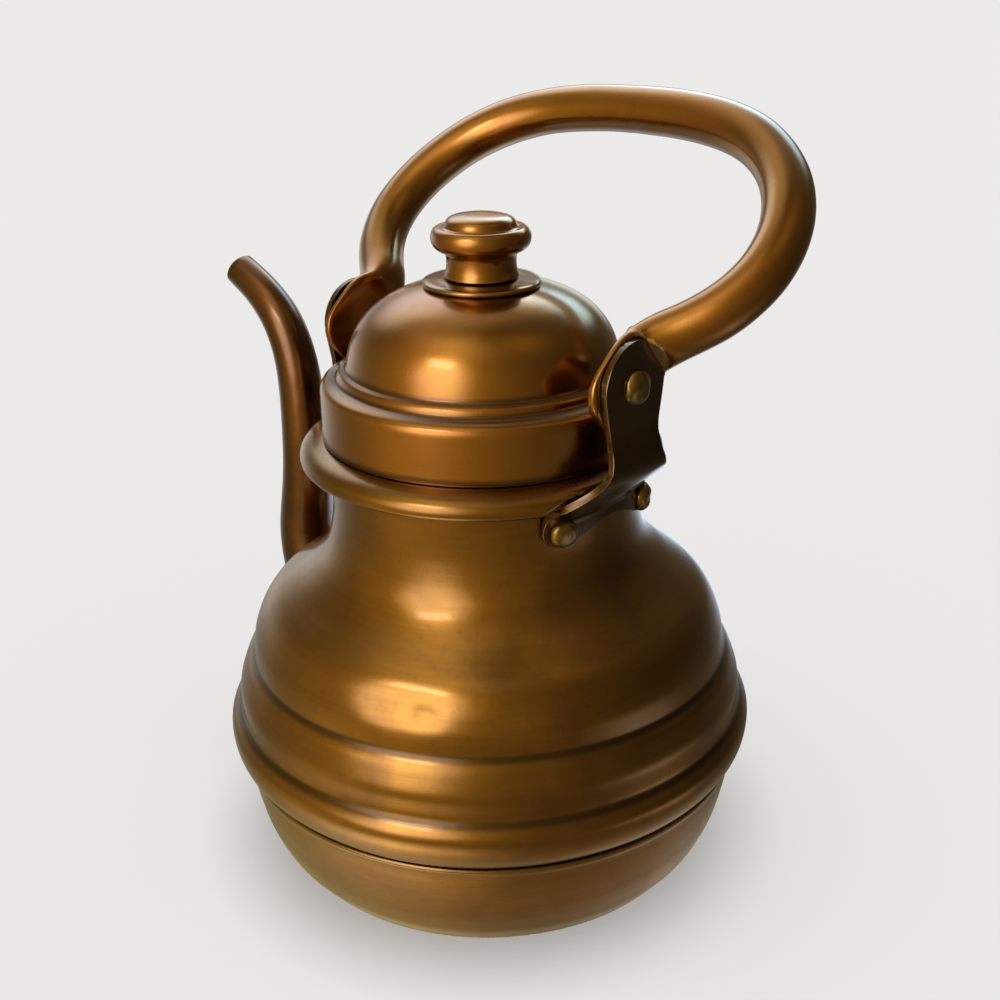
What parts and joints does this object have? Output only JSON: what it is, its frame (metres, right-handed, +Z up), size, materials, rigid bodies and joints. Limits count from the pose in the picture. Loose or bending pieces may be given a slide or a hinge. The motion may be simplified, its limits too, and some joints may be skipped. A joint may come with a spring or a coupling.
{
  "type": "tea kettle",
  "caption": "Round tea kettle with a stepped body, swan-neck spout, lift-off domed lid with a knob, and a swinging bail handle on riveted brackets.",
  "frame": {"origin": "centre of the flat base, on the surface the kettle stands on", "axes": "+Z up along the vessel's axis; the spout points to -X; X runs through the bail handle's two pivots, -X towards the spout; the bail leans towards +Y at rest"},
  "size_m": [0.2426, 0.2, 0.2754],
  "materials": {
    "copper": "old copper sheet, satin, with a brown-gold patina",
    "dark_copper": "old copper, dull and nearly black-brown",
    "rubbed_rivets": "hammered rivet heads, rubbed bright at the rim"
  },
  "bodies": {
    "vessel": {"bottom_pan": "copper", "body_shell": "copper", "mouth_ring": "copper", "spout": "copper", "rear_bracket": "dark_copper", "front_bracket": "dark_copper", "rear_foot_rivet_left": "rubbed_rivets", "rear_foot_rivet_right": "rubbed_rivets", "front_foot_rivet_left": "rubbed_rivets", "front_foot_rivet_right": "rubbed_rivets", "rear_pivot_rivet": "rubbed_rivets", "front_pivot_rivet": "rubbed_rivets"},
    "bail": {"bail_handle": "copper"},
    "lid": {"lid_shell": "copper", "knob_plate": "copper", "lid_knob": "copper", "knob_washer": "dark_copper"}
  },
  "joints": [
    {"name": "bail_swing", "type": "hinge", "parent": "vessel", "child": "bail", "pos_m": [0, 0, 0.193], "axis": [1, 0, 0], "range_deg": [-45, 147]},
    {"name": "lid_lift", "type": "slide", "parent": "vessel", "child": "lid", "axis": [0, 0, 1], "range_m": [0, 0.055]}
  ]
}
